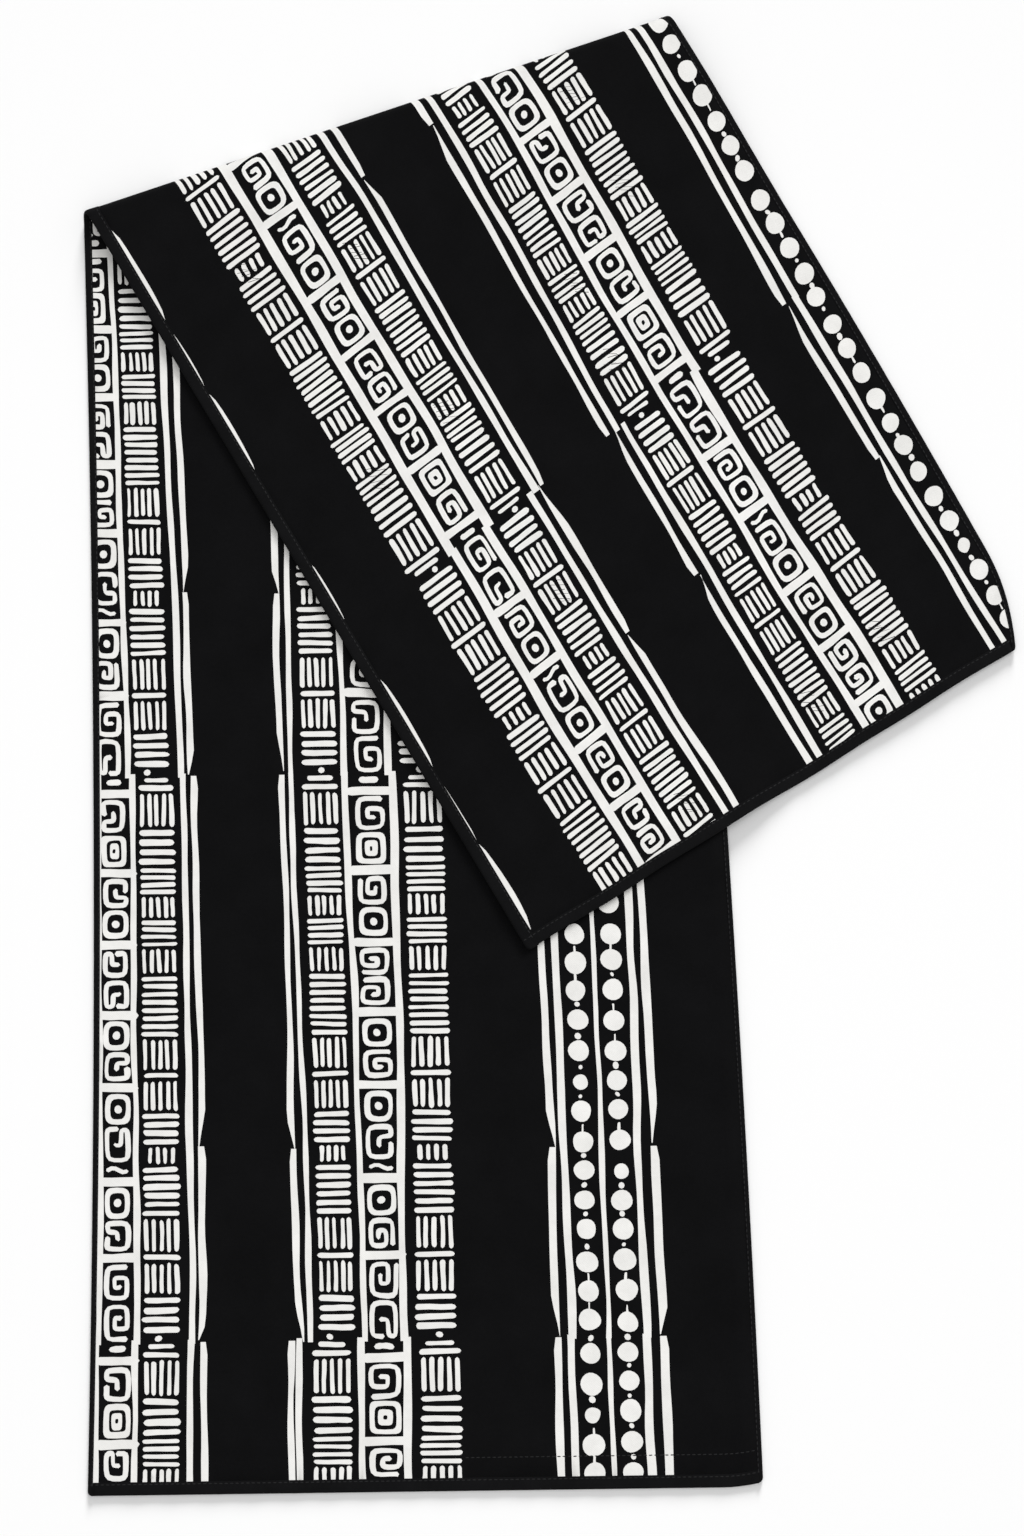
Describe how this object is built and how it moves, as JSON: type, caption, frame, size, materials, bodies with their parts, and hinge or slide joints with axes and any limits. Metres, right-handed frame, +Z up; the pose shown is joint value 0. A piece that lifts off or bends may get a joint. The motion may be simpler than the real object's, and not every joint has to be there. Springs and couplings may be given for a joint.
{
  "type": "wax print table runner",
  "caption": "Long narrow printed cotton cloth with a plain bound edge, lying flat and folded over on the slant, with bands of bars, square spirals, dots and lines.",
  "frame": {"origin": "on the surface it lies on, under the middle of the folded runner's box", "axes": "+Z up from the surface, +Y along the lower layer towards the fold, +X across it towards the side where the flap comes out"},
  "size_m": [0.5971, 0.943, 0.0133],
  "materials": {
    "printed_cotton": "matt black plain-weave cotton printed in off-white",
    "binding_cotton": "matt plain black cotton"
  },
  "bodies": {
    "root": {"face_panel": "printed_cotton", "back_panel": "printed_cotton", "binding_left": "binding_cotton", "binding_right": "binding_cotton", "binding_lower_end": "binding_cotton", "binding_flap_end": "binding_cotton"}
  },
  "joints": []
}
